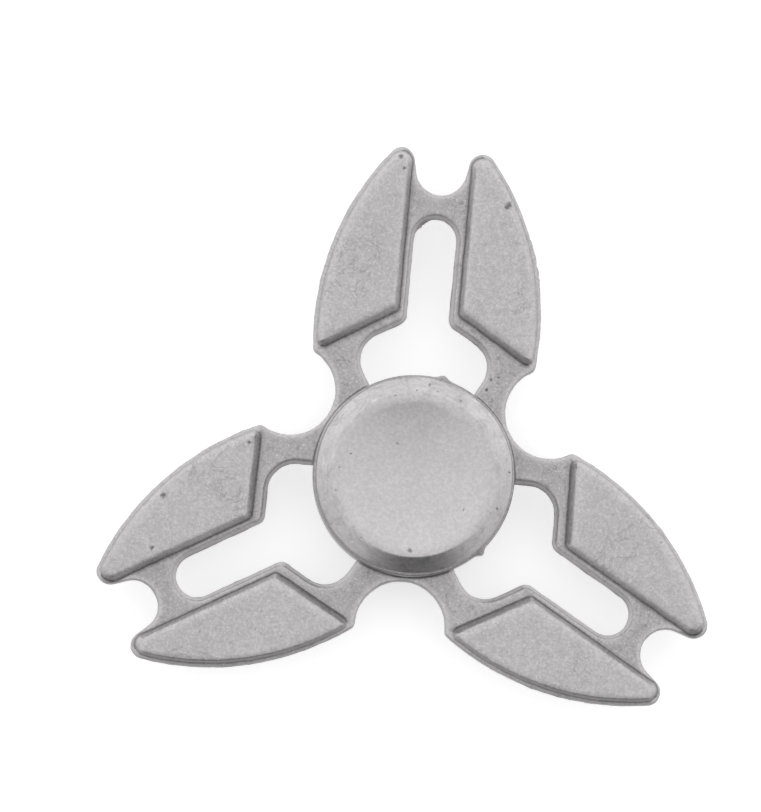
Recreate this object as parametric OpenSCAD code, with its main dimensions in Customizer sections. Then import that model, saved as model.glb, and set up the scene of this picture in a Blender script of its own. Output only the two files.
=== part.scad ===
// Three-armed fidget spinner: a cast frame with claw-shaped arms turning on a ball bearing,
// held between two dished finger caps.
// Millimetres. +Z is the spin axis, arm 1 lies along +Y, and z = 0 is the bearing's mid plane.

/* [Frame outline] */
// Radius of each claw's curved outer edge
claw_r = 34.18; // [33.5:0.02:35]
// How far that curve's centre lies past the arm's middle line
claw_off = 20.16; // [19.8:0.02:20.6]
// Distance of that curve's centre out along the arm
claw_y = 18.44; // [18:0.02:19]
// Rounding of the claw tips
tip_r = 1.68; // [1.4:0.02:1.74]
// Half the distance between the two tips of one arm
tip_x = 5.06; // [5:0.02:5.3]
// Radius of the round notch between the tips
notch_r = 3.12; // [2.6:0.02:3.16]
// Distance of the notch centre from the spin axis
notch_y = 38.19; // [37.8:0.01:38.6]
// Radius of the round valley between two arms
valley_r = 5.55; // [5.2:0.05:5.8]
// Distance of the valley's centre from the spin axis
valley_d = 18.63; // [18.5:0.01:19.2]
// Rounding of the claw's lower outer corner
claw_corner_r = 0.95; // [0.6:0.05:1.3]

/* [Frame windows] */
// Half width of the long slot in each arm
slot_r = 2.63; // [2.2:0.01:2.8]
// Distance of the slot's outer end arc from the spin axis
slot_y = 29.41; // [28.5:0.01:30]
// Height at which the slot's side meets the sloping shoulder
elbow_y = 19.05; // [18.6:0.05:19.5]
// Rounding of that elbow
elbow_r = 1.4; // [1:0.1:2]
// Slope of the shoulder, in degrees
shoulder_a = 30; // [28:0.5:32]
// Radius of the two lobes next to the hub
lobe_r = 3.45; // [3.1:0.05:3.5]
// Distance of a lobe's centre from the arm's middle line
lobe_x = 4.4; // [4.2:0.02:4.6]
// Slope of the edge that runs from the lobe back to the hub, in degrees
leg_a = 60; // [55:1:65]

/* [Frame heights] */
// Thickness of the flat web plate
web_t = 3.4; // [2.8:0.1:4]
// Height of each raised blade above the web
blade_h = 1.2; // [0.8:0.1:1.5]
// How far a blade's sloping wall leans in over its height
blade_draft = 0.65; // [0.4:0.05:0.7]
// Width of the ledge left outside each blade
blade_ledge = 0.43; // [0.25:0.01:0.5]
// Distance of a blade's inner wall from the arm's middle line
blade_x = 3.62; // [3.6:0.02:3.9]
// Slope of a blade's lower wall, in degrees
blade_a = 31.2; // [29:0.2:33]
// Height at which the lower wall meets the inner wall
blade_y = 20.26; // [20:0.02:21]
// Rounding of a blade's lower corners
blade_corner_r = 0.9; // [0.8:0.05:1.2]

/* [Hub and bearing] */
// Outside radius of the collar round the bearing
collar_r = 12.5; // [12.2:0.05:12.6]
// Chamfer on the collar's edges
collar_chamfer = 0.3; // [0.1:0.05:0.4]
// Bearing outside radius
bearing_r = 11; // [11:0.01:11.01]
// Bearing bore radius
bore_r = 4; // [4:0.01:4.01]
// Bearing width
bearing_w = 7; // [7:0.01:7.02]
// Ball diameter
ball_d = 3.969; // [3.96:0.001:3.975]
// Diameter of the circle through the ball centres
pitch_d = 15; // [14.98:0.01:15.02]
// Running clearance between a ball and each groove
ball_clearance = 0.02; // [0.015:0.005:0.03]
// Groove radius as a multiple of the ball radius
groove_ratio = 1.04; // [1.03:0.005:1.06]
// Radius of the inner race's land
inner_land_r = 6.05; // [6:0.01:6.1]
// Radius of the outer race's land
outer_land_r = 9; // [8.95:0.01:9.05]
// Thickness of the cage's strip
cage_t = 0.35; // [0.3:0.01:0.38]
// Thickness of a shield
shield_t = 0.3; // [0.25:0.01:0.3]

/* [Finger caps] */
// Radius of a finger cap
cap_r = 12.1; // [11.8:0.05:12.3]
// Thickness of a cap, from its flat underside to the land round the dish
cap_t = 2.6; // [2.5:0.05:3]
// Gap between a cap and the end of the bearing
cap_gap = 0.5; // [0.4:0.05:0.7]
// Radius at which the cap's top breaks down into its sloping shoulder
crest_r = 10; // [9.8:0.05:10.2]
// Slope of that shoulder, in degrees
shoulder_slope = 40; // [32:1:42]
// Width of the flat land round the dish
cap_land = 0.8; // [0.4:0.05:1]
// Depth of the finger dish
dish_depth = 0.95; // [0.5:0.05:1.1]
// Radius of the threaded stud that joins the caps
stud_r = 2; // [1.9:0.05:2.1]
// Length of that stud
stud_l = 6; // [5.4:0.2:6.4]

/* [Hidden] */
arms = 3;
balls = 7;
arm_pitch = 360 / arms;
ball_pitch = 360 / balls;
$fn = 96;
claw_c = [-claw_off, claw_y];
tip_c = [tip_x, claw_y + sqrt(pow(claw_r - tip_r, 2) - pow(tip_x + claw_off, 2))];
notch_c = [0, notch_y];
valley_c = valley_d * dir(90 - arm_pitch / 2);
claw_corner_c = meet(claw_c, claw_r - claw_corner_r, valley_c, valley_r + claw_corner_r);
// the notch's flank is the inner common tangent of the notch circle and the tip circle
flank_a = bearing_of(notch_c, tip_c) - acos((notch_r + tip_r) / norm(tip_c - notch_c));

leg_n = dir(leg_a - 90);              // normal of the leg's edge, into the metal
lobe_c = [lobe_x, elbow_y - (lobe_x - slot_r) * tan(shoulder_a) - lobe_r / cos(shoulder_a)];
elbow_c = [slot_r + elbow_r, elbow_y + elbow_r * (1 / cos(shoulder_a) - tan(shoulder_a))];

web_z = web_t / 2;
root = 0.3;                           // depth to which each blade reaches into the web
root_lean = root * blade_draft / blade_h;
race_z = bearing_w / 2;
ball_r = ball_d / 2;
pitch_r = pitch_d / 2;
groove_r = ball_r * groove_ratio;
groove_in = pitch_r - ball_r - ball_clearance + groove_r;   // centre of the inner groove's arc
groove_out = pitch_r + ball_r + ball_clearance - groove_r;  // centre of the outer groove's arc
race_chamfer = 0.3;
shield_z = 2.6;                       // underside of a shield
shield_seat_r = 9.5;
snap_groove_r = 9.8;
snap_t = 0.35;
cage_in = 6.6;
cage_out = 8.4;
pocket_r = ball_r + 0.06;
rivet_r = 0.4;
head_r = 0.68;
head_t = 0.22;
fit = 0.02;                           // clearance left between loose pieces

cap_z = race_z + cap_gap;             // underside of the cap's flange
cap_top_z = cap_z + cap_t;
dish_r = crest_r - cap_land;
dish_ball_r = (dish_r * dish_r + dish_depth * dish_depth) / (2 * dish_depth);
boss_r = 5.6;
spigot_gap = 0.2;                     // each spigot stops this far short of the mid plane
stud_hole = stud_l / 2 + 0.3;

// Node to draw, or all

// unit vector at an angle from +X
function dir(a) = [cos(a), sin(a)];
// angle of the line from p to q
function bearing_of(p, q) = atan2(q[1] - p[1], q[0] - p[0]);
// the crossing of two circles that lies farther from the spin axis
function meet(c1, r1, c2, r2) =
    let (d = norm(c2 - c1), a = (r1 * r1 - r2 * r2 + d * d) / (2 * d), h = sqrt(r1 * r1 - a * a),
         u = (c2 - c1) / d, foot = c1 + a * u, side = [-u[1], u[0]],
         p = foot + h * side, q = foot - h * side)
    norm(p) > norm(q) ? p : q;

// n + 1 points along an arc about c, or n of them when the first is left to the curve before it
function arc(c, r, a1, a2, n, first = 1) = [for (i = [first : n]) c + r * dir(a1 + (a2 - a1) * i / n)];
function flipped(pts) = [for (i = [len(pts) - 1 : -1 : 0]) [-pts[i][0], pts[i][1]]];
function turned(pts, a) = [for (p = pts) [p[0] * cos(a) - p[1] * sin(a), p[0] * sin(a) + p[1] * cos(a)]];
// part of a list, both ends included
function part(pts, from, to) = [for (i = [from : to]) pts[i]];

module both_sides() {
    children();
    mirror([1, 0, 0]) children();
}

module each_arm() {
    for (i = [0 : arms - 1]) rotate(i * arm_pitch) children();
}

module both_faces() {
    children();
    mirror([0, 0, 1]) children();
}

// ---- frame ----

// one side of an arm: up the notch, round the tip, down the claw and into the valley
claw_side = concat(
    arc(notch_c, notch_r, -90, flank_a, 9, first = 0),
    arc(tip_c, tip_r, 180 + flank_a, bearing_of(claw_c, tip_c), 13, first = 0),
    arc(claw_c, claw_r, bearing_of(claw_c, tip_c), bearing_of(claw_c, claw_corner_c), 24),
    arc(claw_corner_c, claw_corner_r, bearing_of(claw_c, claw_corner_c),
        bearing_of(claw_corner_c, valley_c), 8),
    arc(valley_c, valley_r, bearing_of(valley_c, claw_corner_c), 270 - arm_pitch / 2, 10));

outline = [for (i = [0 : arms - 1]) each turned(
    concat(part(flipped(claw_side), 1, len(claw_side) - 2), claw_side), -i * arm_pitch)];

// one side of the window in an arm, ending inside the collar's wall
window_side = concat(
    arc([0, slot_y], slot_r, 90, 0, 9, first = 0),
    arc(elbow_c, elbow_r, 180, 270 - shoulder_a, 6, first = 0),
    arc(lobe_c, lobe_r, 90 - shoulder_a, leg_a - 90, 10, first = 0),
    [lobe_c + lobe_r * leg_n - 2 * dir(leg_a)]);

module web() {
    linear_extrude(web_t, center = true) difference() {
        polygon(outline);
        circle((bearing_r + collar_r) / 2);   // ends inside the collar's wall
        each_arm() polygon(concat(part(flipped(window_side), 0, len(window_side) - 2), window_side));
    }
}

module collar() {
    rotate_extrude() polygon([
        [bearing_r, -race_z], [collar_r - collar_chamfer, -race_z],
        [collar_r, -race_z + collar_chamfer], [collar_r, race_z - collar_chamfer],
        [collar_r - collar_chamfer, race_z], [bearing_r, race_z]]);
}

// a blade's outline, drawn in by inset from its foot
function blade_loop(inset) = let (
    foot_r = claw_r - blade_ledge,
    point_r = tip_x - blade_x,
    point_c = [tip_x, claw_y + sqrt(pow(foot_r - point_r, 2) - pow(tip_x + claw_off, 2))],
    low_n = dir(90 - blade_a),
    knee_c = [blade_x + blade_corner_r,
        blade_y - blade_corner_r * tan(blade_a) + blade_corner_r / cos(blade_a)],
    // the heel is rounded between the outer curve and the lower wall
    drop = low_n * [blade_x, blade_y] + blade_corner_r - low_n * claw_c,
    heel_c = claw_c + drop * low_n + sqrt(pow(foot_r - blade_corner_r, 2) - drop * drop) * dir(-blade_a),
    point_a = bearing_of(claw_c, point_c),
    heel_a = bearing_of(claw_c, heel_c))
    concat(
        arc(point_c, point_r - inset, 180, point_a, 10, first = 0),
        arc(claw_c, foot_r - inset, point_a, heel_a, 16),
        arc(heel_c, blade_corner_r - inset, heel_a, -90 - blade_a, 7),
        arc(knee_c, blade_corner_r - inset, -90 - blade_a, -180, 5, first = 0));

// one raised blade with leaning walls, standing on z = 0 and rooted a little below it
module blade() {
    low = blade_loop(-root_lean);
    high = blade_loop(blade_draft);
    n = len(low);
    polyhedron(
        points = concat([for (p = low) [p[0], p[1], -root]], [for (p = high) [p[0], p[1], blade_h]]),
        faces = concat([[for (i = [n - 1 : -1 : 0]) i]], [[for (i = [0 : n - 1]) n + i]],
            [for (i = [0 : n - 1]) let (j = (i + 1) % n) [i, j, n + j, n + i]]));
}

module frame() {
    color([0.62, 0.62, 0.63]) {
        web();
        collar();
        each_arm() both_sides() both_faces() translate([0, 0, web_z]) blade();
    }
}

// ---- bearing ----

module inner_race() {
    color([0.75, 0.76, 0.78]) rotate_extrude() difference() {
        polygon([
            [bore_r, -race_z + race_chamfer], [bore_r + race_chamfer, -race_z],
            [inner_land_r - race_chamfer, -race_z], [inner_land_r, -race_z + race_chamfer],
            [inner_land_r, race_z - race_chamfer], [inner_land_r - race_chamfer, race_z],
            [bore_r + race_chamfer, race_z], [bore_r, race_z - race_chamfer]]);
        translate([groove_in, 0]) circle(groove_r);
    }
}

module outer_race() {
    color([0.75, 0.76, 0.78]) rotate_extrude() difference() {
        polygon([
            [bearing_r - race_chamfer, -race_z], [bearing_r, -race_z + race_chamfer],
            [bearing_r, race_z - race_chamfer], [bearing_r - race_chamfer, race_z],
            [outer_land_r, race_z], [outer_land_r, -race_z]]);
        translate([groove_out, 0]) circle(groove_r);
        for (s = [-1, 1]) scale([1, s]) {
            translate([outer_land_r - 1, shield_z]) square([shield_seat_r - outer_land_r + 1, 2]);
            translate([outer_land_r - 1, shield_z + shield_t])
                square([snap_groove_r - outer_land_r + 1, snap_t + fit]);
        }
    }
}

module ball(n) {
    color([0.8, 0.81, 0.83])
        rotate((n - 1) * ball_pitch) translate([0, pitch_r, 0]) sphere(ball_r, $fn = 64);
}

// round bar of radius r that crosses the cage over ball n
module pocket(n, r) {
    rotate(n * ball_pitch) translate([0, cage_in - 0.5, 0]) rotate([-90, 0, 0])
        cylinder(r = r, h = cage_out - cage_in + 1);
}

// upper half of the pressed cage: a flat strip with a half-round pocket over each ball
module cage_half() {
    color([0.7, 0.66, 0.55]) difference() {
        intersection() {
            union() {
                cylinder(r = cage_out + 1, h = cage_t);
                for (i = [0 : balls - 1]) pocket(i, pocket_r + cage_t);
            }
            linear_extrude(3) difference() {
                circle(cage_out);
                circle(cage_in);
            }
        }
        for (i = [0 : balls - 1]) {
            pocket(i, pocket_r);
            rotate((i + 0.5) * ball_pitch) translate([0, pitch_r, -1])
                cylinder(r = rivet_r + fit, h = 2, $fn = 32);
        }
    }
}

module cage_top() {
    cage_half();
}

module cage_bottom() {
    mirror([0, 0, 1]) cage_half();
}

module cage_rivets() {
    color([0.7, 0.66, 0.55]) for (i = [0 : balls - 1])
        rotate((i + 0.5) * ball_pitch) translate([0, pitch_r, 0]) {
            cylinder(r = rivet_r, h = 2 * cage_t, center = true, $fn = 32);
            both_faces() translate([0, 0, cage_t])
                cylinder(r1 = head_r, r2 = head_r * 0.7, h = head_t, $fn = 32);
        }
}

module shield() {
    color([0.72, 0.73, 0.75]) rotate_extrude() polygon([
        [inner_land_r + 0.2, shield_z + fit], [shield_seat_r - fit, shield_z + fit],
        [shield_seat_r - fit, shield_z + shield_t], [inner_land_r + 0.2, shield_z + shield_t]]);
}

module shield_top() {
    shield();
}

module shield_bottom() {
    mirror([0, 0, 1]) shield();
}

// split ring of flat wire that holds a shield in the outer race
module snap_ring() {
    inside = outer_land_r + 0.1;
    color([0.5, 0.51, 0.53]) translate([0, 0, shield_z + shield_t + fit]) rotate(12)
        rotate_extrude(angle = 336)
            translate([inside, 0]) square([snap_groove_r - fit - inside, snap_t - fit]);
}

module snap_ring_top() {
    snap_ring();
}

module snap_ring_bottom() {
    mirror([0, 0, 1]) snap_ring();
}

// ---- finger caps ----

// dished cap above the bearing, with a tapped spigot that fills the bearing's bore
module cap() {
    color([0.68, 0.66, 0.65]) rotate_extrude() difference() {
        union() {
            polygon([[0, cap_z], [cap_r, cap_z], [cap_r, cap_top_z - (cap_r - crest_r) * tan(shoulder_slope)],
                [crest_r, cap_top_z], [0, cap_top_z]]);
            translate([0, race_z]) square([boss_r, cap_gap + 0.1]);
            translate([0, spigot_gap]) square([bore_r, race_z]);
        }
        intersection() {
            translate([0, cap_top_z - dish_depth + dish_ball_r]) circle(dish_ball_r, $fn = 360);
            translate([0, cap_z]) square([dish_r + 1, cap_t + 2]);
        }
        translate([-1, -1]) square([1 + stud_r + fit, 1 + stud_hole]);
    }
}

module cap_top() {
    cap();
}

module cap_bottom() {
    mirror([0, 0, 1]) cap();
}

// headless stud with a hexagon socket in its upper end
module cap_stud() {
    color([0.35, 0.35, 0.37]) difference() {
        cylinder(r = stud_r, h = stud_l, center = true);
        translate([0, 0, stud_l / 2 - 1.6]) cylinder(r = stud_r * 0.55, h = 2, $fn = 6);
    }
}

frame();
cap_top();
cap_bottom();
cap_stud();
inner_race();
outer_race();
ball(1);  // ball_1
ball(2);  // ball_2
ball(3);  // ball_3
ball(4);  // ball_4
ball(5);  // ball_5
ball(6);  // ball_6
ball(7);  // ball_7
cage_top();
cage_bottom();
cage_rivets();
shield_top();
shield_bottom();
snap_ring_top();
snap_ring_bottom();
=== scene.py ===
"""Looks for the three-armed hand spinner: a fine cast frame, two turned finger caps and the steel
bearing between them, on a pale floor under a soft studio dome. Lengths are in millimetres until a
mesh is made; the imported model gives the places, and the frame's plan repeats part.scad's sizes."""
import bpy
import math
import numpy as np
from mathutils import Matrix, Vector, noise
from mathutils.geometry import delaunay_2d_cdt


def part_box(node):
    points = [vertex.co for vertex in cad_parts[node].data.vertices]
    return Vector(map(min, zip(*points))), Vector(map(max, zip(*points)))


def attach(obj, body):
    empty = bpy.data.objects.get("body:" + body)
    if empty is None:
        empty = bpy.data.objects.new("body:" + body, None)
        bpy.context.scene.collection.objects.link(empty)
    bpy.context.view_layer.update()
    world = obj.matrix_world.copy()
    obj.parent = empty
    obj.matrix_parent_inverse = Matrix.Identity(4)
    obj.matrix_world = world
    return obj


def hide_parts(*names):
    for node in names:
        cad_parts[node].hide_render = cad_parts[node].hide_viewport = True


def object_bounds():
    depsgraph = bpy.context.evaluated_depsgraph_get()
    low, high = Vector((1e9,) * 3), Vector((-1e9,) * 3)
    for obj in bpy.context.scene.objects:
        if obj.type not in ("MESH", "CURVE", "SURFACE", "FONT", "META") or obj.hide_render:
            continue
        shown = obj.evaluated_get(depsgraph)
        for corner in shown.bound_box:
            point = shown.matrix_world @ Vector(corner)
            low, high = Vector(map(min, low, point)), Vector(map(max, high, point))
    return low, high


MM = 0.001
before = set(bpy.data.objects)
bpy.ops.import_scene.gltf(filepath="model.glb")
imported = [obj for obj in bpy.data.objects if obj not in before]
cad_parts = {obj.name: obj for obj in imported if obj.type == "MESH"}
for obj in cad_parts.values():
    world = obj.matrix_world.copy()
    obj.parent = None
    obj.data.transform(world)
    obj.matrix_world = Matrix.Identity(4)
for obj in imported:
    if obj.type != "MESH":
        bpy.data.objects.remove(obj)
cad_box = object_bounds()

# ---- sizes of the frame's plan, as in part.scad ----
CLAW_R, CLAW_OFF, CLAW_Y = 34.18, 20.16, 18.44
TIP_R, TIP_X = 1.68, 5.06
NOTCH_R, NOTCH_Y = 3.12, 38.19
VALLEY_R, VALLEY_D = 5.55, 18.63
CORNER_R = 0.95
SLOT_R, SLOT_Y = 2.63, 29.41
ELBOW_Y, ELBOW_R, SHOULDER_A = 19.05, 1.4, 30.0
LOBE_R, LOBE_X, LEG_A = 3.45, 4.4, 60.0
WEB_Z, BLADE_H = 1.7, 1.2
BLADE_LEDGE, BLADE_X, BLADE_A, BLADE_Y, BLADE_CORNER_R = 0.43, 3.62, 31.2, 20.26, 0.9
COLLAR_R = 12.5
COLLAR_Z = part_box("frame")[1].z / MM
BORE_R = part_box("outer_race")[1].x / MM + 0.01
SHRINK = 0.9996                      # keeps the detailed frame just inside its CAD box
MERGE = 0.001                        # points in the same cell of this size become one


# ---- plan curves ----

def unit(a):
    return np.array([math.cos(math.radians(a)), math.sin(math.radians(a))])


def bearing_of(p, q):
    return math.degrees(math.atan2(q[1] - p[1], q[0] - p[0]))


def meet(c1, r1, c2, r2):
    """The crossing of two circles that lies farther from the spin axis."""
    c1, c2 = np.array(c1), np.array(c2)
    d = np.linalg.norm(c2 - c1)
    a = (r1 * r1 - r2 * r2 + d * d) / (2 * d)
    h = math.sqrt(r1 * r1 - a * a)
    u = (c2 - c1) / d
    side = np.array([-u[1], u[0]])
    return max(c1 + a * u + h * side, c1 + a * u - h * side, key=lambda p: np.hypot(*p))


def arc(c, r, a1, a2, step=0.26):
    n = max(3, int(math.ceil(abs(math.radians(a2 - a1)) * max(r, 0.3) / step)))
    return [np.array(c) + max(r, 0.01) * unit(a1 + (a2 - a1) * i / n) for i in range(n + 1)]


def refine(points, step=0.26):
    """The same line with no stretch longer than step, and no point twice."""
    out = [points[0]]
    for q in points[1:]:
        p = out[-1]
        gap = np.hypot(*(q - p))
        if gap < 1e-4:
            continue
        n = int(math.ceil(gap / step))
        out += [p + (q - p) * (i / n) for i in range(1, n + 1)]
    return np.array(out)


CLAW_C = np.array([-CLAW_OFF, CLAW_Y])
TIP_C = np.array([TIP_X, CLAW_Y + math.sqrt((CLAW_R - TIP_R) ** 2 - (TIP_X + CLAW_OFF) ** 2)])
NOTCH_C = np.array([0, NOTCH_Y])
VALLEY_C = VALLEY_D * unit(30)
CORNER_C = meet(CLAW_C, CLAW_R - CORNER_R, VALLEY_C, VALLEY_R + CORNER_R)
FLANK_A = bearing_of(NOTCH_C, TIP_C) - math.degrees(
    math.acos((NOTCH_R + TIP_R) / np.hypot(*(TIP_C - NOTCH_C))))
SHOULDER_T = math.tan(math.radians(SHOULDER_A))
SHOULDER_C = math.cos(math.radians(SHOULDER_A))
LOBE_C = np.array([LOBE_X, ELBOW_Y - (LOBE_X - SLOT_R) * SHOULDER_T - LOBE_R / SHOULDER_C])
ELBOW_C = np.array([SLOT_R + ELBOW_R, ELBOW_Y + ELBOW_R * (1 / SHOULDER_C - SHOULDER_T)])


def claw_side(d=0.0):
    """One side of an arm, d inside the outline: notch, tip, claw, corner and valley."""
    return refine(
        arc(NOTCH_C, NOTCH_R + d, -90, FLANK_A)
        + arc(TIP_C, TIP_R - d, 180 + FLANK_A, bearing_of(CLAW_C, TIP_C))
        + arc(CLAW_C, CLAW_R - d, bearing_of(CLAW_C, TIP_C), bearing_of(CLAW_C, CORNER_C), 0.3)
        + arc(CORNER_C, CORNER_R - d, bearing_of(CLAW_C, CORNER_C), bearing_of(CORNER_C, VALLEY_C), 0.12)
        + arc(VALLEY_C, VALLEY_R + d, bearing_of(VALLEY_C, CORNER_C), 210))


def window_side(d=0.0, reach=2.0):
    """One side of an arm's window, d into the metal, ending inside the collar."""
    lobe_end = LOBE_C + (LOBE_R + d) * unit(LEG_A - 90)
    return refine(
        arc([0, SLOT_Y], SLOT_R + d, 90, 0)
        + arc(ELBOW_C, ELBOW_R - d, 180, 270 - SHOULDER_A)
        + arc(LOBE_C, LOBE_R + d, 90 - SHOULDER_A, LEG_A - 90)
        + [lobe_end - reach * unit(LEG_A)])


STEEPER, GENTLER = 1.7, 0.75          # how fast the blades' outer and lower walls rise beside the inner


def blade_loop(inset=0.0):
    """A blade's outline, drawn in by inset from its foot: less along the outer wall, more along the lower."""
    foot_r, point_r = CLAW_R - BLADE_LEDGE, TIP_X - BLADE_X
    point_c = [TIP_X, CLAW_Y + math.sqrt((foot_r - point_r) ** 2 - (TIP_X + CLAW_OFF) ** 2)]
    low_n = unit(90 - BLADE_A)
    knee_c = [BLADE_X + BLADE_CORNER_R, BLADE_Y - BLADE_CORNER_R * math.tan(math.radians(BLADE_A))
              + BLADE_CORNER_R / math.cos(math.radians(BLADE_A))]
    drop = low_n @ [BLADE_X, BLADE_Y] + BLADE_CORNER_R - low_n @ CLAW_C
    heel_c = CLAW_C + drop * low_n + math.sqrt((foot_r - BLADE_CORNER_R) ** 2 - drop ** 2) * unit(-BLADE_A)
    point_a, heel_a = bearing_of(CLAW_C, point_c), bearing_of(CLAW_C, heel_c)
    loop = (turning_arc(point_c, point_r, 180, point_a, inset, 1, STEEPER)
            + arc(CLAW_C, foot_r - inset / STEEPER, point_a, heel_a, 0.3)
            + turning_arc(heel_c, BLADE_CORNER_R, heel_a, -90 - BLADE_A, inset, STEEPER, GENTLER)
            + turning_arc(knee_c, BLADE_CORNER_R, -90 - BLADE_A, -180, inset, GENTLER, 1))
    return refine(loop + [loop[0]])


def turning_arc(c, r, a1, a2, inset, f1, f2, n=12):
    """An arc drawn in by inset / f, where f changes smoothly from f1 to f2 along it."""
    return [np.array(c) + max(r - inset / (f1 + (f2 - f1) * i / n), 0.02) * unit(a1 + (a2 - a1) * i / n)
            for i in range(n + 1)]


# ---- distances ----

def distance(points, line):
    """How far each point lies from a line of many short stretches."""
    a, b = line[:-1], line[1:]
    ab = b - a
    t = np.clip(((points[:, None] - a) * ab).sum(2) / (ab * ab).sum(1), 0, 1)
    return np.linalg.norm(points[:, None] - (a + t[..., None] * ab), axis=2).min(1)


def inside(points, loop):
    """Which points lie inside a closed loop."""
    a, b = loop, np.roll(loop, -1, axis=0)
    x, y = points[:, 0:1], points[:, 1:2]
    spans = (a[:, 1] > y) != (b[:, 1] > y)
    with np.errstate(divide="ignore", invalid="ignore"):
        cross = x < (b[:, 0] - a[:, 0]) * (y - a[:, 1]) / (b[:, 1] - a[:, 1]) + a[:, 0]
    return (spans & cross).sum(1) % 2 == 1


def keep_outside(line, radius):
    """The stretch of a line that lies outside a circle about the spin axis, cut where it crosses."""
    r = np.hypot(line[:, 0], line[:, 1])
    n = int(np.argmax(r < radius)) if (r < radius).any() else len(line)
    if n in (0, len(line)):
        return line
    p, q = line[n - 1], line[n]
    lo, hi = 0.0, 1.0
    for _ in range(40):
        mid = (lo + hi) / 2
        lo, hi = (mid, hi) if np.hypot(*(p + (q - p) * mid)) > radius else (lo, mid)
    return np.vstack([line[:n], p + (q - p) * hi])


# ---- heights of the cast face: distance in from an edge, height gained ----
OUTLINE_RISE = ((0, 0), (0.04, 0.15), (0.09, 1.40), (0.13, 1.58), (0.18, 1.67), (0.24, 1.70))
WINDOW_RISE = ((0, 0), (0.06, 0.15), (0.30, 1.25), (0.42, 1.50), (0.55, 1.65), (0.70, 1.70))
BLADE_RISE = ((-0.15, 0), (-0.06, 0.02), (0, 0.07), (0.06, 0.17), (0.45, 0.84), (0.60, 1.02),
              (0.75, 1.12), (0.88, 1.165), (1.15, 1.20))
COLLAR_FALL = ((11.12, 3.5), (12.20, 3.5), (12.30, 3.47), (12.38, 3.38), (12.44, 3.20), (12.50, 0))
COLLAR_RINGS = (11.06, 11.12, 11.6, 12.0, 12.2, 12.3, 12.38, 12.44)
FILLET_RINGS = (12.5, 12.56, 12.66, 12.8, 12.95)
FILLET = 0.4                          # radius of the hollow rounding between web and collar
BORE_CHAMFER = 0.12


def along(table, d):
    return np.interp(d, [p[0] for p in table], [p[1] for p in table])


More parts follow.
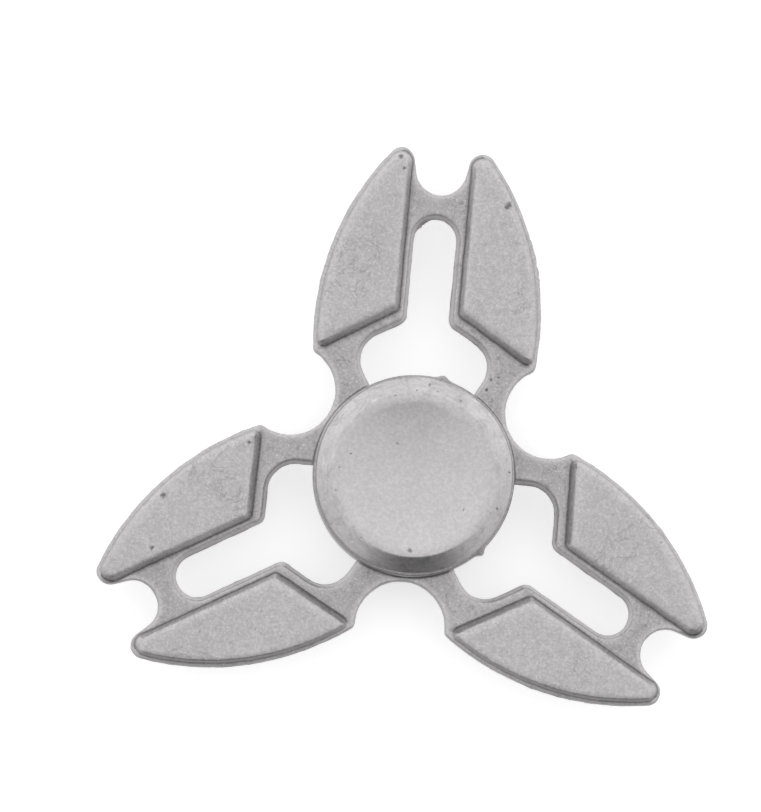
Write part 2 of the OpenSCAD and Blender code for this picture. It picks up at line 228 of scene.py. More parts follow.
class Sector:
    """The sixth of the upper face between an arm's middle line and the middle of a valley."""

    def __init__(self):
        self.outline, self.window, self.blade = claw_side(), window_side(), blade_loop()
        self.window_loop = np.vstack([self.window, [[-1, 8], [-1, SLOT_Y + SLOT_R]]])
        self.domain = self.boundary()

    def boundary(self):
        """Closed loop round the sector's metal."""
        leg_end = keep_outside(self.window, COLLAR_R)
        a_leg = bearing_of((0, 0), leg_end[-1])
        return refine(list(self.outline)
                      + [BORE_R * unit(30)] + arc((0, 0), BORE_R, 30, 90)
                      + [np.array([0, COLLAR_R])] + arc((0, 0), COLLAR_R, 90, a_leg)
                      + list(leg_end[::-1]) + [self.outline[0]], 0.3)

    def heights(self, p):
        """Height of the upper face, and how much web darkening, painted shade and painted highlight every
        point gets.
        """
        r = np.hypot(p[:, 0], p[:, 1])
        out_d, win_d, blade_d = (distance(p, line) for line in (self.outline, self.window, self.blade))
        win_d = np.where(inside(p, self.window_loop), 0, win_d)
        blade_d = np.where(inside(p, self.blade[:-1]), blade_d, -blade_d)
        rim_d = CLAW_R - BLADE_LEDGE - np.hypot(*(p - CLAW_C).T)
        low_d = p @ unit(90 - BLADE_A) - unit(90 - BLADE_A) @ [BLADE_X, BLADE_Y]
        by_rim = np.interp(rim_d - blade_d, [0, 0.25], [STEEPER, 1])
        by_low = np.interp(low_d - blade_d, [0, 0.3], [GENTLER, 1])
        pace = by_rim * by_low
        blade_d = np.where(blade_d > 0, blade_d * pace, blade_d)
        web = np.minimum(along(OUTLINE_RISE, out_d), along(WINDOW_RISE, win_d))
        t = np.clip((r - COLLAR_R + 0.03) / FILLET, 0, 1)
        fillet = FILLET * (1 - np.sqrt(1 - (1 - t) ** 2)) * web / WEB_Z
        collar = np.where(r <= COLLAR_R + 1e-6, along(COLLAR_FALL, r), 0) * COLLAR_Z / 3.5
        h = np.maximum(web + along(BLADE_RISE, blade_d) + fillet, collar)
        edge_d = np.minimum(out_d, np.where(r < COLLAR_R, 9, win_d))
        low = np.interp(blade_d, [-0.3, 0.1], [1, 0]) * (r > COLLAR_R + 0.03)
        low *= np.interp(np.minimum(edge_d * 1.5, win_d), [0.45, 1.3], [0.1, 1])
        # painted shade: darker at the blades' feet, in the hollow between web and collar, and on the collar's
        # top where the cap's edge overhangs it
        painted_shade = np.maximum.reduce([
            np.interp(blade_d, [-0.20, -0.06, 0.05, 0.22], [0, 1, 1, 0]) * (rim_d > 0.45),
            np.interp(r, [12.46, 12.5, 12.56, 12.8], [0, 1, 1, 0]) * (web > 0.5),
            np.interp(r, [11.9, 12.1, 12.26, 12.4], [0, 0.6, 0.5, 0.15]) * (r < COLLAR_R)])
        # painted highlight: lighter along the blades' rounded top edges, on the blade tops next to the outer
        # rim, and along the web's rounded edges
        painted_highlight = np.maximum.reduce([
            np.interp(blade_d, [0.60, 0.80, 1.0, 1.4], [0, 1, 1, 0]) * 0.5,
            np.interp(rim_d, [0.3, 0.5, 1.7], [0, 1, 0]) * (blade_d > 0.4) * 0.6,
            np.interp(edge_d, [0.14, 0.26, 0.4, 0.7], [0, 1, 1, 0]) * (blade_d < -0.1)])
        h = np.where(h < 1e-3, 0, h)
        return h, np.stack([low, painted_shade, painted_highlight, np.ones(len(p))], axis=1)

    def rim_normals(self, p, h):
        """For points on the parting line, the direction out of the metal."""
        out = np.zeros_like(p)
        for line, side in ((self.outline, 1), (self.window, -1)):
            a, b = line[:-1], line[1:]
            mid = (a + b) / 2
            for i in np.flatnonzero(h == 0):
                k = int(np.argmin(np.hypot(*(mid - p[i]).T)))
                if np.hypot(*(mid[k] - p[i])) < 0.3 and not out[i].any():
                    t = (b[k] - a[k]) / np.hypot(*(b[k] - a[k]))
                    out[i] = np.array([t[1], -t[0]]) * -side
        return out

    def guides(self):
        """Lines that the triangles must follow, so that every rounding stays crisp."""
        lines = [claw_side(d) for d in (0.04, 0.09, 0.13, 0.18)]
        lines += [keep_outside(window_side(d), COLLAR_R) for d in (0.06, 0.30, 0.42, 0.55, 0.70)]
        lines += [blade_loop(d) for d in (-0.10, 0, 0.06, 0.26, 0.45, 0.60, 0.75, 0.88)]
        lines += [np.array(arc((0, 0), r, 30, 90)) for r in COLLAR_RINGS]
        for r in FILLET_RINGS:
            ring = np.array(arc((0, 0), r, 30, 90))
            lines.append(ring[~inside(ring, self.window_loop)])
        return lines

    def mesh(self, grid=0.5):
        """Triangles over the sector: points and faces."""
        edges, verts = [], []

        def add(line, closed=False):
            n0 = len(verts)
            verts.extend(Vector(p) for p in line)
            edges.extend((n0 + i, n0 + i + 1) for i in range(len(line) - 1))
            if closed:
                edges.append((n0 + len(line) - 1, n0))

        guides = self.guides()
        add(self.domain[:-1], closed=True)
        for line in guides:
            add(line)
        fixed = np.vstack([self.domain] + guides)
        free = [claw_side(d) for d in (0.26, 0.36, 0.55)]
        xs, ys = np.arange(0.25, 16, grid), np.arange(5, 40, grid * math.sqrt(3) / 2)
        rows = []
        for k, y in enumerate(ys):
            shift = grid / 2 if k % 2 else 0
            rows.append(np.stack([xs + shift, np.full(len(xs), y)], axis=1))
        loose = np.vstack(free + rows)
        loose = loose[inside(loose, self.domain[:-1])]
        near = np.array([np.min(np.hypot(*(fixed - p).T)) for p in loose])
        n_rim = sum(len(f) for f in free)
        loose = loose[near > np.where(np.arange(len(loose)) < n_rim, 0.1, 0.22)]
        verts.extend(Vector(p) for p in loose)
        co, _, faces, *_ = delaunay_2d_cdt(verts, edges, [], 0, 1e-5)
        co = np.array([tuple(v) for v in co])
        faces = np.array([f for f in faces])
        faces = faces[inside(co[faces].mean(1), self.domain[:-1])]
        for across in (unit(0), unit(120)):         # no flat slivers along the lines of symmetry
            faces = faces[~(np.abs(co[faces] @ across) < 1e-6).all(1)]
        return co, faces


# ---- small irregularities of the casting, placed in the frame's plan: x, y, size, rise ----
LUMPS = (                             # out from the collar's wall
    (2.55, 12.45, 1.10, 0.55),        # burr on the collar in arm 1's window
    (9.15, -8.62, 0.90, 0.50),        # step on the collar in arm 3's window
)
FLASH = (                             # out from the parting line
    (-1.9, 31.2, 0.7, 0.28),          # at the left shoulder of arm 1's slot
    (6.6, 17.4, 0.6, 0.25),           # on the right lobe of arm 1
    (13.3, 26.0, 2.2, 0.16),          # along arm 1's right claw
    (12.4, 29.5, 1.2, 0.18),
)
CAST_PITS = (                         # x, y, radius
    (8.6, 34.4, 0.42), (8.4, 34.1, 0.28), (-5.2, 39.2, 0.34), (-4.7, 37.8, 0.2), (-30.5, -5.3, 0.38),
    (-31.3, -11.8, 0.26), (-20.6, 2.2, 0.26), (7.5, 13.7, 0.24), (8.4, 12.7, 0.2), (8.0, 11.5, 0.22),
    (9.3, 13.1, 0.15),
)
CAP_PITS = (
    (-2.4, 3.6, 0.16), (-8.1, 1.9, 0.13), (-9.2, 0.0, 0.12), (-9.5, -2.8, 0.17), (6.4, -3.8, 0.16),
    (11.7, 1.4, 0.13), (10.5, -3.2, 0.13), (-5.8, -8.4, 0.12), (0.3, -9.4, 0.26), (-3.2, 9.5, 0.15),
    (-0.6, 10.4, 0.15), (0.9, 11.2, 0.16), (1.9, 10.4, 0.12), (4.8, 9.6, 0.15),
)


def waviness(p, size, seed):
    """Smooth noise of about -1 to 1 at each point."""
    at = Vector((seed * 7.31, seed * 3.17, seed * 1.93))
    return np.array([noise.noise(Vector(q) / size + at) for q in p])


def new_object(name, verts, faces, smooth_angle=40):
    mesh = bpy.data.meshes.new(name)
    mesh.from_pydata([tuple(v) for v in verts * MM], [], [tuple(int(i) for i in f) for f in faces])
    mesh.update()
    mesh.shade_smooth()
    mesh.set_sharp_from_angle(angle=math.radians(smooth_angle))
    obj = bpy.data.objects.new(name, mesh)
    bpy.context.scene.collection.objects.link(obj)
    return obj


def cast_frame():
    """The whole casting: twelve copies of one sector, joined into one closed skin."""
    sector = Sector()
    co, tri = sector.mesh()
    h, web_and_painted_light = sector.heights(co)
    r = np.hypot(co[:, 0], co[:, 1])
    h = np.where(r < 11.08, COLLAR_Z - 0.04, h)
    h = np.where(r < BORE_R + 0.02, COLLAR_Z - BORE_CHAMFER, h)
    tri = tri[~(h[tri] == 0).all(1)]
    on_bore = np.flatnonzero(r < BORE_R + 0.02)
    on_bore = on_bore[np.argsort(np.arctan2(co[on_bore, 1], co[on_bore, 0]))]
    rim = sector.rim_normals(co, h)
    verts, faces, web_and_painted_light_rows, rims = [], [], [], []
    for k in range(3):
        c, s = math.cos(2 * math.pi * k / 3), math.sin(2 * math.pi * k / 3)
        for mirror in (1, -1):
            x, y = co[:, 0] * mirror, co[:, 1]
            pair = []
            for face in (1, -1):
                base = len(verts) * len(co)
                verts.append(np.stack([x * c - y * s, x * s + y * c, face * h], axis=1))
                web_and_painted_light_rows.append(web_and_painted_light)
                nx, ny = rim[:, 0] * mirror, rim[:, 1]
                rims.append(np.stack([nx * c - ny * s, nx * s + ny * c], axis=1))
                faces.append(base + (tri if face * mirror > 0 else tri[:, ::-1]))
                pair.append(base)
            up, down = pair[0] + on_bore, pair[1] + on_bore
            wall = np.stack([up[:-1], down[:-1], down[1:]], 1), np.stack([up[:-1], down[1:], up[1:]], 1)
            faces += [w if mirror > 0 else w[:, ::-1] for w in wall]
    verts, faces, web_and_painted_light_rows, rims = np.vstack(verts), np.vstack(faces), np.vstack(web_and_painted_light_rows), np.vstack(rims)
    cells = np.floor((verts + MERGE * 0.37) / MERGE)
    _, first, where = np.unique(cells, axis=0, return_index=True, return_inverse=True)
    verts, web_and_painted_light_rows, rims, faces = verts[first], web_and_painted_light_rows[first], rims[first], where.reshape(-1)[faces]
    faces = faces[(faces[:, 0] != faces[:, 1]) & (faces[:, 1] != faces[:, 2]) & (faces[:, 2] != faces[:, 0])]
    verts = weathered(verts, rims)
    obj = new_object("cast_frame", verts, faces)
    # the point colour carries web darkening, painted shade and painted highlight to the material
    paint = obj.data.attributes.new("web_and_painted_light", "FLOAT_COLOR", "POINT")
    paint.data.foreach_set("color", web_and_painted_light_rows.astype(np.float32).ravel())
    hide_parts("frame")
    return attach(obj, "rotor")


def weathered(v, rims):
    """The casting's slight waves, its ragged parting line, and its lumps."""
    r = np.hypot(v[:, 0], v[:, 1])
    out = v.copy()
    free = np.interp(r, [11.2, 12.0], [0, 1]) * np.where(np.abs(v[:, 2]) > 0.01, 1, 0)
    out[:, 2] += np.sign(v[:, 2]) * free * (0.02 * waviness(v, 2.6, 1) + 0.008 * waviness(v, 0.8, 2) - 0.012)
    off = np.stack([waviness(v, 1.4, 3), waviness(v, 1.4, 4)], axis=1)
    nick = np.stack([waviness(v, 0.6, 9), waviness(v, 0.6, 10)], axis=1)
    out[:, :2] += (off * 0.045 + nick * 0.02) * np.interp(r, [12.5, 12.8], [0, 1])[:, None]
    flash = 0.05 * np.maximum(waviness(v, 0.5, 6), 0) + 0.08 * np.maximum(waviness(v, 3.0, 7), 0)
    for x, y, size, rise in FLASH:
        near = np.exp(-((v[:, 0] - x) ** 2 + (v[:, 1] - y) ** 2) / size ** 2)
        flash += near * rise * (0.6 + 0.8 * waviness(v, 0.35, 8))
    inner = np.interp(r, [35.0, 37.0], [1, 0])
    out[:, :2] += rims * (np.maximum(flash, 0) * inner)[:, None]
    for x, y, size, rise in LUMPS:
        near = np.exp(-((v[:, 0] - x) ** 2 + (v[:, 1] - y) ** 2) / (size * 0.6) ** 2)
        near *= (v[:, 2] > -0.5) * (r > 12.2)
        out[:, :2] += (v[:, :2] / r[:, None]) * (near * rise)[:, None]
    out[:, :2] *= SHRINK
    return out


# ---- turned parts ----

def lathe(profile, turns=240):
    """A solid of revolution about the spin axis. Profile points run from the axis or bore outwards
    and back; a profile that starts and ends on the axis is closed there."""
    prof = np.array(profile, float)
    ring = np.arange(turns) * 2 * math.pi / turns
    verts, rows = [], []
    for radius, z in prof:
        if radius < 1e-6:
            rows.append([len(verts)] * turns)
            verts.append((0, 0, z))
        else:
            rows.append(list(range(len(verts), len(verts) + turns)))
            verts += [(radius * math.cos(a), radius * math.sin(a), z) for a in ring]
    faces = []
    for a, b in zip(rows, rows[1:] + rows[:1]):
        for i in range(turns):
            j = (i + 1) % turns
            loop = [a[i], a[j], b[j], b[i]]
            loop = [q for n, q in enumerate(loop) if q not in loop[:n]]
            if len(loop) > 2:
                faces.append(loop)
    return verts, faces


def rounded(profile, index_radius, steps=6):
    """The profile with each named corner replaced by an arc of that radius."""
    out, n = [], len(profile)
    for i, p in enumerate(profile):
        p = np.array(p, float)
        if i not in index_radius:
            out.append(tuple(p))
            continue
        u = np.array(profile[i - 1], float) - p
        w = np.array(profile[(i + 1) % n], float) - p
        u, w = u / np.hypot(*u), w / np.hypot(*w)
        half = math.acos(max(-1, min(1, u @ w))) / 2
        radius = index_radius[i]
        back = radius / math.tan(half)
        centre = p + (u + w) / np.hypot(*(u + w)) * radius / math.sin(half)
        a, b = p + u * back - centre, p + w * back - centre
        turn = math.atan2(a[0] * b[1] - a[1] * b[0], a @ b)
        for k in range(steps + 1):
            t = turn * k / steps
            out.append((centre[0] + a[0] * math.cos(t) - a[1] * math.sin(t),
                        centre[1] + a[0] * math.sin(t) + a[1] * math.cos(t)))
    return out


CAP_LAND_R, CREST_R, CAP_DROP, DISH_DEPTH = 9.2, 10.0, 1.762, 0.95
CAP_T, BOSS_H, BOSS_R = 2.6, 0.5, 5.6         # the boss is what bears on the inner race
NECK_R, SPIGOT_R, SPIGOT_END = 4.2, 3.99, 0.2
STUD_R, STUD_END = 2.02, 3.3


def finger_cap(name, node, side):
    """A dished cap with its spigot, turned up or over."""
    lo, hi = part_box(node)
    top = max(abs(lo.z), abs(hi.z)) / MM - 0.005
    edge_r = hi.x / MM - 0.01
    under = top - CAP_T
    seat = under - BOSS_H
    ball = (CAP_LAND_R ** 2 + DISH_DEPTH ** 2) / (2 * DISH_DEPTH)
    reach = np.linspace(0, CAP_LAND_R - 0.2, 34)
    dish = [(x, top - DISH_DEPTH + ball - math.sqrt(ball ** 2 - x * x)) for x in reach]
    dish[0] = (0, dish[0][1])
    blend = [(CAP_LAND_R + 0.02, top - 0.026), (CAP_LAND_R + 0.18, top - 0.010),
             (CAP_LAND_R + 0.34, top - 0.002), (CAP_LAND_R + 0.44, top)]
    rim = rounded([(CAP_LAND_R + 0.44, top), (CREST_R + 0.2, top), (edge_r, top - CAP_DROP), (edge_r, under),
                   (BOSS_R, under), (BOSS_R, seat), (NECK_R, seat), (SPIGOT_R, seat - 0.25),
                   (SPIGOT_R, SPIGOT_END + 0.3), (SPIGOT_R - 0.29, SPIGOT_END),
                   (STUD_R, SPIGOT_END), (STUD_R, STUD_END)],
                  {1: 0.35, 2: 0.22, 3: 0.12, 4: 0.1}, 7)[1:]
    cone = []
    for p, q in zip(rim, rim[1:]):
        cone.append(p)
        n = int(np.hypot(q[0] - p[0], q[1] - p[1]) / 0.35)
        cone += [(p[0] + (q[0] - p[0]) * i / (n + 1),
                  p[1] + (q[1] - p[1]) * i / (n + 1)) for i in range(1, n + 1)]
    verts, faces = lathe(dish + blend + cone + [rim[-1], (0, STUD_END)])
    v = np.array(verts)
    v[:, 2] += 0.004 * waviness(v, 2.2, 5) * (v[:, 2] > top - 1.5) - 0.004 * (v[:, 2] > top - 1.5)
    if side < 0:
        v[:, 2] *= -1
        v[:, 0] *= -1
    obj = new_object(name, v, [f[::-1] for f in faces], 34)
    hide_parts(node)
    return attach(obj, "hub")


# ---- materials ----

class Shader:
    """A small helper to write node trees."""

    def __init__(self, name):
        self.mat = bpy.data.materials.new(name)
        self.mat.use_nodes = True
        self.nodes, self.links = self.mat.node_tree.nodes, self.mat.node_tree.links
        self.bsdf = self.nodes["Principled BSDF"]
        self.place = self.nodes.new("ShaderNodeTexCoord").outputs["Object"]

    def put(self, socket, value):
        if isinstance(value, bpy.types.NodeSocket):
            self.links.new(value, socket)
        else:
            socket.default_value = value

    def noise(self, per_mm, detail=4.0, rough=0.55, distort=0.0, vector=None):
        n = self.nodes.new("ShaderNodeTexNoise")
        self.put(n.inputs["Vector"], vector or self.place)
        n.inputs["Scale"].default_value = per_mm / MM
        n.inputs["Detail"].default_value = detail
        n.inputs["Roughness"].default_value = rough
        n.inputs["Distortion"].default_value = distort
        return n.outputs["Fac"]

    def stretched(self, sx, sy, sz):
        n = self.nodes.new("ShaderNodeMapping")
        self.put(n.inputs["Vector"], self.place)
        n.inputs["Scale"].default_value = (sx, sy, sz)
        return n.outputs["Vector"]

    def remap(self, value, a, b, c, d, smooth=False):
        n = self.nodes.new("ShaderNodeMapRange")
        n.interpolation_type = "SMOOTHSTEP" if smooth else "LINEAR"
        self.put(n.inputs["Value"], value)
        for key, x in zip(("From Min", "From Max", "To Min", "To Max"), (a, b, c, d)):
            n.inputs[key].default_value = x
        return n.outputs["Result"]

    def math(self, op, a, b=0.0):
        n = self.nodes.new("ShaderNodeMath")
        n.operation = op
        self.put(n.inputs[0], a)
        self.put(n.inputs[1], b)
        return n.outputs[0]

    def mix(self, fac, a, b):
        n = self.nodes.new("ShaderNodeMix")
        n.data_type = "RGBA"
        self.put(n.inputs["Factor"], fac)
        self.put(n.inputs["A"], a if isinstance(a, bpy.types.NodeSocket) else (*a, 1))
        self.put(n.inputs["B"], b if isinstance(b, bpy.types.NodeSocket) else (*b, 1))
        return n.outputs["Result"]

    def length(self, x, y):
        return self.math("SQRT", self.math("ADD", self.math("MULTIPLY", x, x), self.math("MULTIPLY", y, y)))

    def attribute(self, name):
        n = self.nodes.new("ShaderNodeAttribute")
        n.attribute_name = name
        split = self.nodes.new("ShaderNodeSeparateColor")
        self.links.new(n.outputs["Color"], split.inputs["Color"])
        return [*split.outputs, n.outputs["Alpha"]]

    def marks(self, spots):
        """1 in the middle of each small pit on the upper side, with ragged edges, 0 elsewhere."""
        shake = self.nodes.new("ShaderNodeTexNoise")
        self.put(shake.inputs["Vector"], self.place)
        shake.inputs["Scale"].default_value = 3 / MM
        moved = self.nodes.new("ShaderNodeVectorMath")
        moved.operation = "MULTIPLY_ADD"
        self.put(moved.inputs[0], shake.outputs["Color"])
        moved.inputs[1].default_value = (0.6 * MM, 0.6 * MM, 0)
        self.put(moved.inputs[2], self.place)
        split = self.nodes.new("ShaderNodeSeparateXYZ")
        self.put(split.inputs[0], moved.outputs["Vector"])
        total = None
        for x, y, radius in spots:
            dx = self.math("SUBTRACT", split.outputs["X"], (x + 0.3) * MM)
            dy = self.math("SUBTRACT", split.outputs["Y"], (y + 0.3) * MM)
            spot = self.remap(self.length(dx, dy), radius * 0.3 * MM, radius * 1.4 * MM, 1, 0, True)
            total = spot if total is None else self.math("MAXIMUM", total, spot)
        return self.math("MULTIPLY", total, self.math("GREATER_THAN", split.outputs["Z"], 0.5 * MM))

    def turned(self, spread):
        """Distance from the spin axis, and a vector along which noise runs in rings about it."""
        split = self.nodes.new("ShaderNodeSeparateXYZ")
        self.put(split.inputs[0], self.place)
        x, y = split.outputs["X"], split.outputs["Y"]
        r = self.math("MAXIMUM", self.length(x, y), 0.01 * MM)
        ring = self.nodes.new("ShaderNodeCombineXYZ")
        self.put(ring.inputs["X"], r)
        self.put(ring.inputs["Y"], self.math("MULTIPLY", self.math("DIVIDE", x, r), spread * MM))
        self.put(ring.inputs["Z"], self.math("MULTIPLY", self.math("DIVIDE", y, r), spread * MM))
        return r, ring.outputs["Vector"]

    def hairlines(self, per_mm, width, share):
        """Thin curved lines in some places, 0 elsewhere."""
        level = self.math("ABSOLUTE", self.math("SUBTRACT", self.noise(per_mm, 2.5, 0.55, 1.6), 0.5))
        line = self.remap(level, 0, width, 1, 0)
        some = self.remap(self.noise(per_mm * 0.35, 2, 0.5), 1 - share, 1.04 - share, 0, 1)
        return self.math("MULTIPLY", line, some)

    def bump(self, height, depth_mm, strength=1.0, under=None):
        n = self.nodes.new("ShaderNodeBump")
        n.inputs["Strength"].default_value = strength
        n.inputs["Distance"].default_value = depth_mm * MM
        self.put(n.inputs["Height"], height)
        if under is not None:
            self.put(n.inputs["Normal"], under)
        return n.outputs["Normal"]


def cast_metal():
    """Tumbled zinc casting: fine mottled skin, a darker gritty web with painted glints, painted shade in the
    creases, painted highlights on rounded edges, hairlines and pits.
    """
    s = Shader("cast_alloy_skin")
    low, painted_shade, painted_highlight, _ = s.attribute("web_and_painted_light")
    broad = s.noise(0.16, 4, 0.6)
    blotch = s.noise(1.0, 4, 0.6, 0.4)
    grain = s.noise(3.0, 4, 0.7, 0.3)
    salt = s.noise(7.0, 2, 0.7)
    speck = s.noise(2.2, 1, 0.5)
    grit = s.noise(1.5, 5, 0.72, 0.5)
    glint = s.noise(3.4, 3, 0.7)
    pit = s.marks(CAST_PITS)
    scratch = s.hairlines(0.30, 0.030, 0.42)
    c = s.mix(s.remap(broad, 0.3, 0.7, 0, 1), (0.500, 0.487, 0.492), (0.545, 0.531, 0.537))
    c = s.mix(s.remap(blotch, 0.30, 0.55, 0.30, 0), c, (0.400, 0.388, 0.394))
    c = s.mix(s.remap(blotch, 0.52, 0.75, 0, 0.22), c, (0.720, 0.704, 0.710))
    c = s.mix(s.remap(grain, 0.28, 0.52, 0.55, 0), c, (0.350, 0.340, 0.344))
    c = s.mix(s.remap(grain, 0.50, 0.72, 0, 0.50), c, (0.800, 0.784, 0.790))
    c = s.mix(s.remap(salt, 0.58, 0.72, 0, 0.38), c, (0.92, 0.91, 0.91))
    c = s.mix(s.remap(salt, 0.26, 0.42, 0.40, 0), c, (0.26, 0.25, 0.255))
    c = s.mix(s.remap(speck, 0.20, 0.27, 0.4, 0), c, (0.14, 0.137, 0.14))
    # painted highlight along rounded edges and on the blade tops by the outer rim
    c = s.mix(s.math("MULTIPLY", painted_highlight, s.remap(grain, 0.3, 0.6, 0.1, 0.5)), c, (0.72, 0.705, 0.71))
    c = s.mix(s.math("MULTIPLY", low, s.remap(broad, 0.3, 0.7, 0.34, 0.20)), c, (0.24, 0.236, 0.241))
    c = s.mix(s.math("MULTIPLY", low, s.remap(grit, 0.34, 0.47, 0.50, 0)), c, (0.20, 0.196, 0.2))
    # painted glints: bright specks on the web
    c = s.mix(s.math("MULTIPLY", low, s.remap(glint, 0.56, 0.70, 0, 0.55)), c, (0.86, 0.845, 0.85))
    c = s.mix(s.math("MULTIPLY", scratch, 0.35), c, (0.20, 0.196, 0.2))
    # painted shade at the blades' feet, round the collar and under the cap's edge
    c = s.mix(s.math("MULTIPLY", painted_shade, s.remap(grain, 0.3, 0.7, 0.75, 0.5)), c, (0.12, 0.117, 0.119))
    c = s.mix(s.math("MULTIPLY", pit, 0.72), c, (0.07, 0.068, 0.07))
    s.put(s.bsdf.inputs["Base Color"], c)
    s.bsdf.inputs["Metallic"].default_value = 1.0
    s.put(s.bsdf.inputs["Roughness"], s.remap(grain, 0.3, 0.7, 0.42, 0.56))
    n = s.bump(blotch, 0.02, 0.5)
    n = s.bump(s.noise(4.5, 4, 0.65), 0.02, 0.9, n)
    n = s.bump(s.math("ADD", pit, s.math("MULTIPLY", scratch, 0.3)), -0.05, 0.7, n)
    s.put(s.bsdf.inputs["Normal"], n)
    return s.mat


def cap_metal():
    """Smooth satin metal with a faint warm cast, fine grain and pits, and streaks round the shoulder."""
    s = Shader("cap_satin")
    broad = s.noise(0.12, 4, 0.5)
    blotch = s.noise(0.9, 3, 0.6)
    fine = s.noise(2.4, 5, 0.65)
    salt = s.noise(6.5, 2, 0.7)
    pit = s.marks(CAP_PITS)
    r, rings = s.turned(1.6)
    rim = s.remap(r, 9.3 * MM, 10.2 * MM, 0, 1, True)
    lines = s.noise(2.6, 3, 0.65, vector=rings)
    scuff = s.noise(0.55, 5, 0.7, 0.6)
    c = s.mix(s.remap(broad, 0.3, 0.7, 0, 1), (0.560, 0.542, 0.548), (0.605, 0.588, 0.592))
    c = s.mix(s.remap(blotch, 0.3, 0.7, 0.22, 0), c, (0.45, 0.435, 0.44))
    c = s.mix(s.remap(fine, 0.3, 0.55, 0.45, 0), c, (0.43, 0.415, 0.42))
    c = s.mix(s.remap(fine, 0.5, 0.72, 0, 0.35), c, (0.76, 0.745, 0.75))
    c = s.mix(s.remap(salt, 0.6, 0.74, 0, 0.35), c, (0.88, 0.87, 0.87))
    c = s.mix(s.remap(salt, 0.26, 0.40, 0.35, 0), c, (0.3, 0.29, 0.295))
    c = s.mix(s.math("MULTIPLY", rim, s.remap(lines, 0.30, 0.46, 0.34, 0)), c, (0.34, 0.33, 0.335))
    c = s.mix(s.math("MULTIPLY", rim, s.remap(lines, 0.54, 0.70, 0, 0.26)), c, (0.80, 0.785, 0.79))
    c = s.mix(s.math("MULTIPLY", rim, s.remap(scuff, 0.36, 0.50, 0.40, 0)), c, (0.30, 0.29, 0.295))
    c = s.mix(s.math("MULTIPLY", pit, 0.75), c, (0.14, 0.136, 0.14))
    s.put(s.bsdf.inputs["Base Color"], c)
    s.bsdf.inputs["Metallic"].default_value = 1.0
    s.put(s.bsdf.inputs["Roughness"], s.remap(fine, 0.3, 0.7, 0.30, 0.40))
    n = s.bump(s.noise(1.2, 5, 0.6), 0.006, 0.6)
    n = s.bump(s.noise(5.0, 3, 0.6), 0.004, 0.6, n)
    n = s.bump(s.math("MULTIPLY", rim, lines), 0.005, 0.6, n)
    n = s.bump(pit, -0.03, 0.6, n)
    s.put(s.bsdf.inputs["Normal"], n)
    return s.mat


def steel(name, web_and_painted_light, rough, grain=1.5, lines=0.3):
    """Machined or pressed steel: fine streaks, slight stains."""
    s = Shader(name)
    stain = s.noise(0.5, 4, 0.6)
    streak = s.noise(grain, 4, 0.6, vector=s.stretched(1, 1, 6))
    dark = tuple(x * 0.72 for x in web_and_painted_light)
    c = s.mix(s.remap(stain, 0.3, 0.75, 0, 0.5), web_and_painted_light, dark)
    c = s.mix(s.remap(streak, 0.35, 0.65, lines, 0), c, dark)
    s.put(s.bsdf.inputs["Base Color"], c)
    s.bsdf.inputs["Metallic"].default_value = 1.0
    s.put(s.bsdf.inputs["Roughness"], s.remap(streak, 0.3, 0.7, rough, rough * 1.5))
    s.put(s.bsdf.inputs["Normal"], s.bump(streak, 0.003, 0.4))
    return s.mat


def dress(obj, mat):
    obj.data.materials.clear()
    obj.data.materials.append(mat)


# ---- studio ----
TURN = math.radians(5.27)             # the frame lies turned this much on the floor
RIGHT = Vector((math.cos(TURN), math.sin(TURN), 0))
AWAY = Vector((-math.sin(TURN), math.cos(TURN), 0))
UP = Vector((0, 0, 1))
DIM_TURN = math.radians(3)            # the dim side of the dome is a little right of the near side


def floor():
    lo, _ = cad_box
    half = 3.0                        # metres
    corners = [(-half, -half, lo.z), (half, -half, lo.z), (half, half, lo.z), (-half, half, lo.z)]
    mesh = bpy.data.meshes.new("floor")
    mesh.from_pydata(corners, [], [(0, 1, 2, 3)])
    obj = bpy.data.objects.new("floor", mesh)
    bpy.context.scene.collection.objects.link(obj)
    obj.visible_glossy = False
    s = Shader("lit_floor")
    s.bsdf.inputs["Base Color"].default_value = (0.86, 0.86, 0.86, 1)
    s.bsdf.inputs["Roughness"].default_value = 0.9
    s.bsdf.inputs["Specular IOR Level"].default_value = 0.1
    s.bsdf.inputs["Emission Color"].default_value = (1, 1, 1, 1)
    s.bsdf.inputs["Emission Strength"].default_value = 0.47
    dress(obj, s.mat)


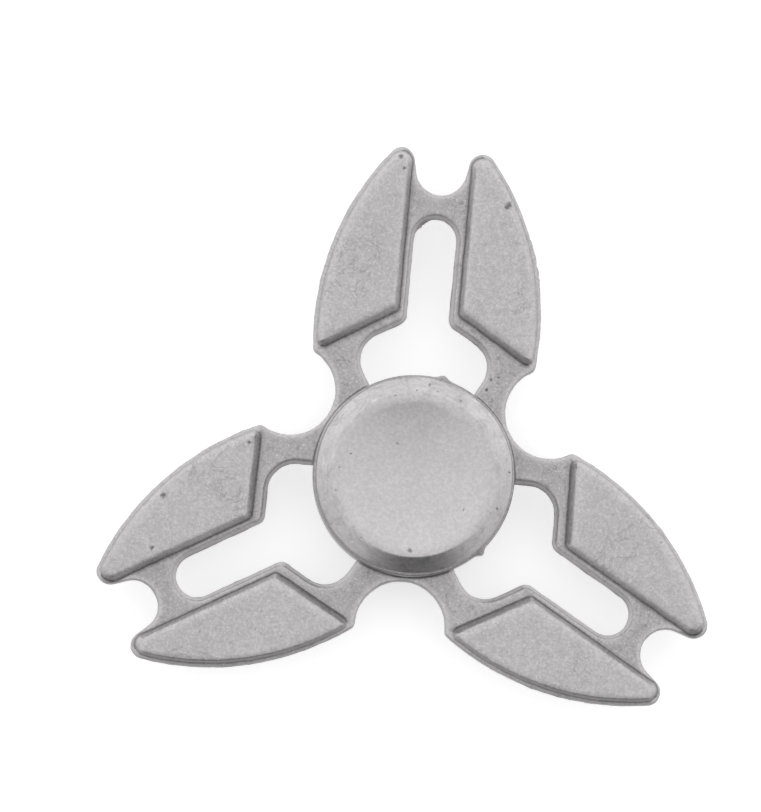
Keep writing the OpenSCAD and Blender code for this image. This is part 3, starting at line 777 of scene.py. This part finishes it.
def dome():
    """A soft dome, a little brighter behind the object and dim low down on the near side."""
    world = bpy.data.worlds.new("studio_dome")
    bpy.context.scene.world = world
    world.use_nodes = True
    nodes, links = world.node_tree.nodes, world.node_tree.links
    back = nodes["Background"]
    direction = nodes.new("ShaderNodeTexCoord").outputs["Generated"]

    def dot(v):
        n = nodes.new("ShaderNodeVectorMath")
        n.operation = "DOT_PRODUCT"
        links.new(direction, n.inputs[0])
        n.inputs[1].default_value = v
        return n.outputs["Value"]

    def calc(op, a, b=0.0):
        n = nodes.new("ShaderNodeMath")
        n.operation = op
        for socket, x in zip(n.inputs, (a, b)):
            if isinstance(x, bpy.types.NodeSocket):
                links.new(x, socket)
            else:
                socket.default_value = x
        return n.outputs[0]

    def ramp(x, a, b, c, d):
        n = nodes.new("ShaderNodeMapRange")
        n.interpolation_type = "SMOOTHSTEP"
        links.new(x, n.inputs["Value"])
        for key, val in zip(("From Min", "From Max", "To Min", "To Max"), (a, b, c, d)):
            n.inputs[key].default_value = val
        return n.outputs["Result"]

    def add(a, b):
        return calc("ADD", a, b)

    def mul(a, b):
        return calc("MULTIPLY", a, b)

    def blend(t, a, b):
        return add(mul(a, calc("SUBTRACT", 1.0, t)), mul(b, t))

    near, side, high = dot(-AWAY), dot(RIGHT), dot(UP)
    flat = calc("SQRT", add(add(mul(near, near), mul(side, side)), 1e-6))
    dim = dot(-AWAY * math.cos(DIM_TURN) + RIGHT * math.sin(DIM_TURN))
    facing = ramp(calc("DIVIDE", dim, flat), 0.75, 0.99, 0, 1)
    patch = mul(facing, mul(calc("POWER", calc("MAXIMUM", near, 1e-4), 0.50), 0.86))
    above = mul(ramp(near, -1.0, 0.4, 1.20, 0.97), calc("SUBTRACT", 1.0, patch))
    low = calc("SUBTRACT", ramp(near, -0.9, 0.1, 1.42, 1.06), ramp(near, 0.15, 0.8, 0, 0.93))
    deep = ramp(near, -0.45, 0.45, 1.05, 0.88)
    below = blend(ramp(high, -0.9, -0.25, 1, 0), low, deep)
    links.new(blend(ramp(high, -0.20, 0.12, 0, 1), below, above), back.inputs["Strength"])
    back.inputs["Color"].default_value = (1, 1, 1, 1)


def camera():
    """Almost straight down, leaning a little to the near left, with the hub below and right of centre."""
    lean = (UP - 0.02 * RIGHT - 0.055 * AWAY).normalized()
    target = (-4.09 * RIGHT + 8.675 * AWAY + WEB_Z * UP) * MM
    reach, width = 0.9, 94.0 * MM
    cam = bpy.data.cameras.new("camera")
    cam.sensor_fit = "HORIZONTAL"
    cam.sensor_width = 36
    cam.lens = 36 * reach / width
    cam.clip_end = 20
    obj = bpy.data.objects.new("camera", cam)
    bpy.context.scene.collection.objects.link(obj)
    x = AWAY.cross(lean).normalized()
    y = lean.cross(x)
    obj.matrix_world = Matrix((x, y, lean)).transposed().to_4x4()
    obj.location = target + lean * reach
    bpy.context.scene.camera = obj


def looks():
    alloy, cap = cast_metal(), cap_metal()
    race = steel("bearing_ground", (0.62, 0.63, 0.65), 0.2)
    ball = steel("ball_polished", (0.75, 0.76, 0.78), 0.08, 0.8, 0.1)
    sheet = steel("pressed_sheet", (0.56, 0.56, 0.57), 0.3, 2.5)
    dark = steel("dark_spring", (0.28, 0.28, 0.30), 0.34, 2.0)
    dress(cast_frame(), alloy)
    for name, node, side in (("cap_upper", "cap_top", 1), ("cap_lower", "cap_bottom", -1)):
        dress(finger_cap(name, node, side), cap)
    finish = {"inner_race": race, "outer_race": race, "cap_stud": dark, "snap_ring_top": dark,
              "snap_ring_bottom": dark, "cage_top": sheet, "cage_bottom": sheet, "cage_rivets": sheet,
              "shield_top": sheet, "shield_bottom": sheet}
    for name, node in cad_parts.items():
        if not node.hide_render:
            dress(node, finish.get(name, ball))


def view_settings():
    view = bpy.context.scene.view_settings
    view.view_transform = "Standard"
    view.look = "None"
    view.exposure = 0
    view.gamma = 1


looks()
floor()
dome()
camera()
view_settings()
